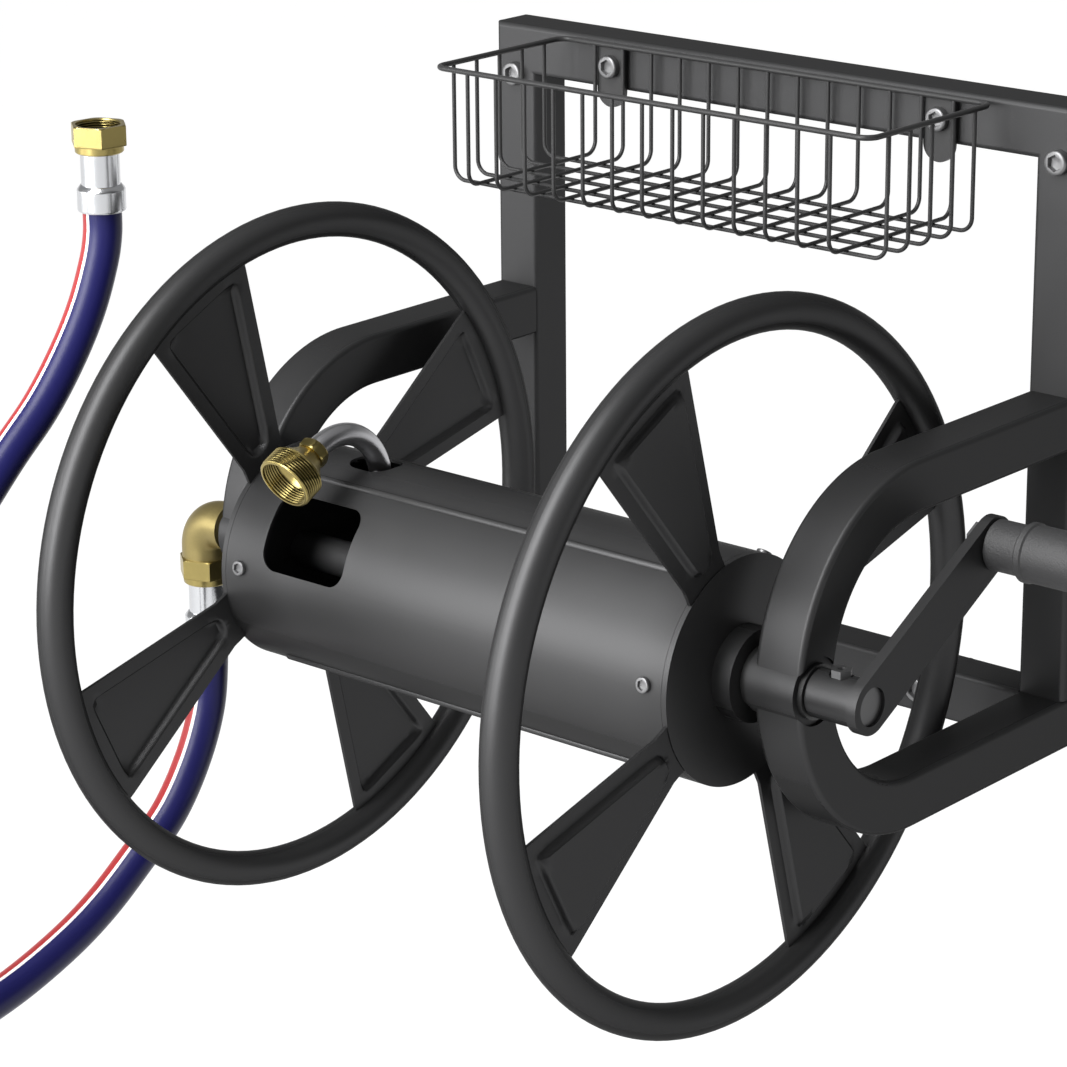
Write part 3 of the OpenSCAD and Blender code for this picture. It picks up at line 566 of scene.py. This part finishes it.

# Outlet
# Machined brass: a small hexagon nut and a male hose fitting, with a thread
# outside and a shallow one inside its mouth. Both threads have painted shade in their grooves.
brass = grained_material(
    "machined brass", (0.38, 0.306, 0.114), 0.32, grain=350.0, spread=0.14, depth=0.00001, Metallic=1.0
)
tree = brass.node_tree
bright = tree.nodes["Principled BSDF"].inputs["Base Color"].links[0].from_socket
# Painted shade: the brass colour is darkened towards the root of each thread groove.
groove_shade_share = 0.85
groove = add_node(tree, "ShaderNodeAttribute", attribute_name="groove").outputs["Fac"]
groove_level = math_node(tree, "MULTIPLY_ADD", groove, -groove_shade_share, 1.0)
painted_groove_shade = add_node(tree, "ShaderNodeVectorMath", {0: bright, "Scale": groove_level}, operation="SCALE")
tree.links.new(painted_groove_shade.outputs[0], tree.nodes["Principled BSDF"].inputs["Base Color"])
outlet_mount = next(m for m in frame["record"]["mounts"] if m["name"] == "outlet_thread")
outlet_r = outlet_mount["dims"]["r_mm"] / 1000
outlet_len = outlet_mount["dims"]["length_mm"] / 1000
outlet_axis = Vector(outlet_mount["axis"]).normalized()
outlet_turn = outlet_axis.to_track_quat("Z", "X").to_matrix().to_4x4()
outlet_place = Matrix.Translation(Vector(outlet_mount["pos_m"]) + outlet_axis * outlet_len / 2) @ outlet_turn
thread_pitch, thread_plain = 0.0016, 0.0008
shoulder_len, fitting_wall = 0.0105, 0.0027
fitting_bore = outlet_r - fitting_wall
neck_r, water_r = 0.0072, 0.0052


def threaded(radius, depth, pitch, sign=1):
    """Radius of a right-hand thread that runs below (sign 1) or above (sign -1) a nominal radius."""
    def thread(angle, height):
        phase = (height / pitch - angle / (2 * math.pi)) % 1.0
        return radius - sign * depth * min(1.0, abs(2 * phase - 1) * 1.6)

    return thread


def thread_rows(start, end, radius, pitch, per_turn=8):
    count = round(abs(end - start) / pitch * per_turn)
    return [(start + (end - start) * i / count, radius) for i in range(count + 1)]


def mark_grooves(piece, place, start, end, bands):
    """Stores how deep each point of a thread lies, from its crest (0) to its root (1).

    Each band is the crest's radius and the root's radius of one thread.
    """
    depth = piece.data.attributes.new("groove", "FLOAT", "POINT")
    back = place.inverted()
    for item, vertex in zip(depth.data, piece.data.vertices):
        x, y, height = back @ vertex.co
        radius = math.hypot(x, y)
        for crest, root in bands:
            share = (radius - crest) / (root - crest)
            if start < height < end and -0.05 < share < 1.05:
                item.value = min(1.0, max(0.0, share))


outer_depth, inner_depth = 0.001, 0.0007
outer_thread = threaded(outlet_r, outer_depth, thread_pitch)
inner_thread = threaded(fitting_bore, inner_depth, thread_pitch, -1)
fitting_outline = (
    [(-outlet_len - shoulder_len, water_r), (-outlet_len - shoulder_len, neck_r)]
    + [(-outlet_len - 0.0035, outlet_r - 0.0045), (-outlet_len - 0.0015, outlet_r - 0.0022)]
    + [(-outlet_len, outlet_r - 0.001), (-outlet_len + 0.0006, outlet_r - 0.001)]
    + thread_rows(-outlet_len + thread_plain, -thread_plain, outer_thread, thread_pitch)
    + [(-0.0006, outlet_r - 0.0004), (-0.0001, outlet_r - 0.0009), (0, outlet_r - 0.0013)]
    + [(-0.0001, fitting_bore + 0.0006)]
    + thread_rows(-thread_plain, -outlet_len + 0.0025, inner_thread, thread_pitch)
    + [(-outlet_len + 0.0015, fitting_bore), (-outlet_len - 0.004, 0.0075), (-outlet_len - 0.0075, water_r)]
)
fitting = turned(
    "outlet_hose_fitting", fitting_outline, outlet_place, brass, "reel", sides=72, closed=True
)
mark_grooves(
    fitting,
    outlet_place,
    -outlet_len + thread_plain,
    -thread_plain,
    [(outlet_r, outlet_r - outer_depth), (fitting_bore, fitting_bore + inner_depth)],
)
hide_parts("outlet_fitting")

small_flats, small_len, small_bore = 0.016, 0.0065, 0.0064
nut_back = -outlet_len - shoulder_len - small_len
nut_outline = [
    (nut_back, small_bore),
    (nut_back, 0.0076),
    (nut_back + 0.0006, hexagon(small_flats, 0.0084)),
    (nut_back + 0.0014, hexagon(small_flats)),
    (nut_back + 0.0058, hexagon(small_flats)),
    (nut_back + small_len, hexagon(small_flats, 0.0082)),
    (nut_back + small_len, small_bore),
]
small_nut = turned("gooseneck_nut", nut_outline, outlet_place, brass, "reel", closed=True)
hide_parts("outlet_nut")

# Crank
# A flat steel arm welded to a short hub, which is held on the axle by a set
# screw. Powder coated like the wheels.
crank_coat = coat_material("crank coat", coat_dark, 0.42)
paint(crank_coat, "crank_hub", "crank_arm")
paint(bolt_zinc, "crank_set_screw", "grip_spindle", "spindle_nut", "swivel_clip")

# Grip
# A moulded rubber sleeve with a collar and a bead, free to turn on a spindle.
grip_rubber = grained_material(
    "grip rubber", (0.029, 0.029, 0.030), 0.55, grain=1100.0, spread=0.35, depth=0.00025
)
paint(grip_rubber, "grip")

# Inlet elbow
# A cast brass elbow that swivels on the left end of the axle. Its brass is
# darker than the machined brass, partly as painted shade from the wheel beside it.
# Darker than the machined brass: cast finish, and painted shade from the wheel.
cast_brass_and_shade = grained_material(
    "cast brass", (0.285, 0.23, 0.094), 0.46, grain=700.0, spread=0.2, depth=0.00006, Metallic=0.9
)
paint(cast_brass_and_shade, "inlet_elbow")
seal_rubber = grained_material("seal rubber", (0.012, 0.012, 0.012), 0.6)
paint(seal_rubber, "swivel_seal", "elbow_washer", "coupling_washer")

# Hose nuts
# Two forged brass nuts with a round base, on bright ferrules. The lower one is
# tight on the elbow, the upper one turns freely and shows its thread.
chrome = grained_material(
    "bright chrome", (0.66, 0.67, 0.69), 0.22,
    grain=300.0, spread=0.04, uneven=0.04, depth=0.000002, Metallic=1.0,
)  # fmt: skip
paint(chrome, "lower_stem", "upper_stem")
nut_flats = 0.029
nut_turn = 52
hex_h, base_h, base_r = 0.0115, 0.0045, 0.01365
mouth_r, mouth_depth, mouth_pitch = 0.012, 0.0006, 0.0014
mouth_start, mouth_end = -0.0008, -0.0068
stem_hole_r, web_t = 0.0088, 0.003
web_top = -hex_h - base_h + web_t
mouth_thread = threaded(mouth_r, mouth_depth, mouth_pitch, -1)
ferrule_r, ferrule_soft, ferrule_bore = 0.01365, 0.0012, 0.0066


def hose_nut(name, place, body, node):
    """A hexagon nut with a round base and a threaded mouth. Rows near its edges keep the flats flat."""
    bevel, chamfer, edge_row = 0.0004, 0.0006, 0.0002
    outline = (
        [(-hex_h - base_h, stem_hole_r), (-hex_h - base_h, base_r - 0.0006)]
        + [(-hex_h - base_h + 0.0006, base_r)]
        + [(-hex_h - 0.0002, base_r), (-hex_h - 0.0002, hexagon(nut_flats - bevel))]
        + [(-hex_h + bevel, hexagon(nut_flats)), (-hex_h + bevel + edge_row, hexagon(nut_flats))]
        + [(-chamfer - edge_row, hexagon(nut_flats)), (-chamfer, hexagon(nut_flats))]
        + [(0, hexagon(nut_flats, nut_flats / 2 + 2 * chamfer))]
        + [(0, mouth_r + 0.0008)]
        + thread_rows(mouth_start, mouth_end, mouth_thread, mouth_pitch)
        + [(-0.0075, mouth_r), (-0.0076, mouth_r + 0.0003), (web_top, mouth_r + 0.0003)]
        + [(web_top, stem_hole_r)]
    )
    nut = turned(name, outline, place, brass, body, sides=72, closed=True)
    # The mouth's thread gets the same painted shade in its grooves.
    mark_grooves(nut, place, mouth_end, mouth_start, [(mouth_r, mouth_r + mouth_depth)])
    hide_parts(node)
    return nut


def ferrule(name, place, node):
    """A crimped sleeve with soft ends round the hose end, below its stem."""
    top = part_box(node)[1].z - place.translation.z
    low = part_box(node)[0].z - place.translation.z
    r, soft = ferrule_r, ferrule_soft
    outline = (
        [(low, ferrule_bore)]
        + arc_rows(low + soft, r - soft, soft, -90, 0)
        + [(low + soft + 0.0003, r), (top - 0.0031, r)]
        + [(top - 0.0028, r), (top - 0.0022, r - 0.0002), (top - 0.0003, r - 0.0018)]
        + [(top, r - 0.0022), (top, ferrule_bore)]
    )
    sleeve = turned(name, outline, place, chrome, "inlet", sides=96, closed=True)
    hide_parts(node)
    return sleeve


lower_place = placed(hose_x, axle_y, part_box("elbow_nut")[1].z, nut_turn, "Z")
upper_place = placed(hose_x, hose_route[-1][0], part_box("coupling_nut")[1].z, nut_turn, "Z")
hose_nut("elbow_hose_nut", lower_place, "inlet", "elbow_nut")
free_nut = hose_nut("free_coupling_nut", upper_place, "coupling", "coupling_nut")
ferrule("lower_crimp", lower_place, "lower_ferrule")
upper_crimp = ferrule("upper_crimp", upper_place, "upper_ferrule")

# Studio
# A white floor and background. Metal shows a room that is white at the horizon,
# grey above it and dark on the right. The rest gets plain grey light and three lamps.
floor_z, floor_half, floor_glow = -0.95, 20, 0.96
plain_light = 0.3
floor_corners = ((-1, -1), (1, -1), (1, 1), (-1, 1))
floor_mesh = bpy.data.meshes.new("floor")
floor_points = [(x * floor_half, y * floor_half, floor_z) for x, y in floor_corners]
floor_mesh.from_pydata(floor_points, [], [(0, 1, 2, 3)])
floor = bpy.data.objects.new("floor", floor_mesh)
bpy.context.scene.collection.objects.link(floor)


def seen_in_mirrors(tree):
    """1 for what metal and glass show, and 0 for everything else."""
    path = add_node(tree, "ShaderNodeLightPath")
    return math_node(tree, "MAXIMUM", path.outputs["Is Glossy Ray"], path.outputs["Is Transmission Ray"])


def seen_by_camera(tree):
    """1 for what the camera looks at, and 0 for everything else."""
    return add_node(tree, "ShaderNodeLightPath").outputs["Is Camera Ray"]


floor_paint, tree, shader = new_material("floor paint")
shader.inputs["Base Color"].default_value = (0.12, 0.12, 0.12, 1)
shader.inputs["Roughness"].default_value = 0.8
shader.inputs["Specular IOR Level"].default_value = 0.0
glow = add_node(tree, "ShaderNodeEmission", {"Color": (1, 1, 1, 1), "Strength": floor_glow})
both = add_node(tree, "ShaderNodeAddShader", {0: shader.outputs[0], 1: glow.outputs[0]})
shown = math_node(tree, "MAXIMUM", seen_by_camera(tree), seen_in_mirrors(tree))
mix = add_node(tree, "ShaderNodeMixShader", {0: shown, 1: shader.outputs[0], 2: both.outputs[0]})
tree.links.new(mix.outputs[0], tree.nodes["Material Output"].inputs["Surface"])
floor_mesh.materials.append(floor_paint)

backdrop_side = (-1, 0, 0)
world = bpy.data.worlds.new("room")
bpy.context.scene.world = world
world.use_nodes = True
tree = world.node_tree
tree.nodes.clear()
direction = add_node(tree, "ShaderNodeTexCoord").outputs["Generated"]
upward = add_node(tree, "ShaderNodeSeparateXYZ", {0: direction}).outputs["Z"]
height = add_node(tree, "ShaderNodeValToRGB", {"Fac": upward})
for stop, (place, level) in zip(height.color_ramp.elements, ((0.03, 1.0), (0.22, 0.3))):
    stop.position, stop.color = place, (level, level, level, 1)
sideways = add_node(tree, "ShaderNodeVectorMath", {0: direction, 1: backdrop_side}, operation="DOT_PRODUCT")
backdrop = add_node(
    tree,
    "ShaderNodeMapRange",
    {"Value": sideways.outputs["Value"], "From Min": -0.75, "From Max": -0.55, "To Min": 0.15},
)
room = add_node(
    tree, "ShaderNodeBackground", {"Color": height.outputs["Color"], "Strength": backdrop.outputs[0]}
)
grey = add_node(tree, "ShaderNodeBackground", {"Color": (1, 1, 1, 1), "Strength": plain_light})
white = add_node(tree, "ShaderNodeBackground", {"Color": (1, 1, 1, 1), "Strength": 1.0})
in_mirrors, in_view = seen_in_mirrors(tree), seen_by_camera(tree)
lit = add_node(tree, "ShaderNodeMixShader", {0: in_mirrors, 1: grey.outputs[0], 2: room.outputs[0]})
mix = add_node(tree, "ShaderNodeMixShader", {0: in_view, 1: lit.outputs[0], 2: white.outputs[0]})
add_node(tree, "ShaderNodeOutputWorld", {"Surface": mix.outputs[0]})


def lamp(name, place, aim, width, height, power):
    """A rectangular soft lamp that faces a point."""
    data = bpy.data.lights.new(name, "AREA")
    data.shape = "RECTANGLE"
    data.size, data.size_y, data.energy = width, height, power
    light = bpy.data.objects.new(name, data)
    bpy.context.scene.collection.objects.link(light)
    light.location = place
    light.rotation_euler = (Vector(aim) - Vector(place)).to_track_quat("-Z", "Y").to_euler()


reel_middle = (0, axle_y, axle_z)
lamp("key lamp", (-0.2, -2.05, 1.05), reel_middle, width=1.1, height=3.4, power=136)
lamp("side lamp", (-1.6, -2.0, 0.2), reel_middle, width=1.2, height=1.2, power=24)
lamp("fill lamp", (2.2, -0.8, 0.7), reel_middle, width=1.5, height=1.5, power=2)
bpy.context.scene.view_settings.view_transform = "Standard"
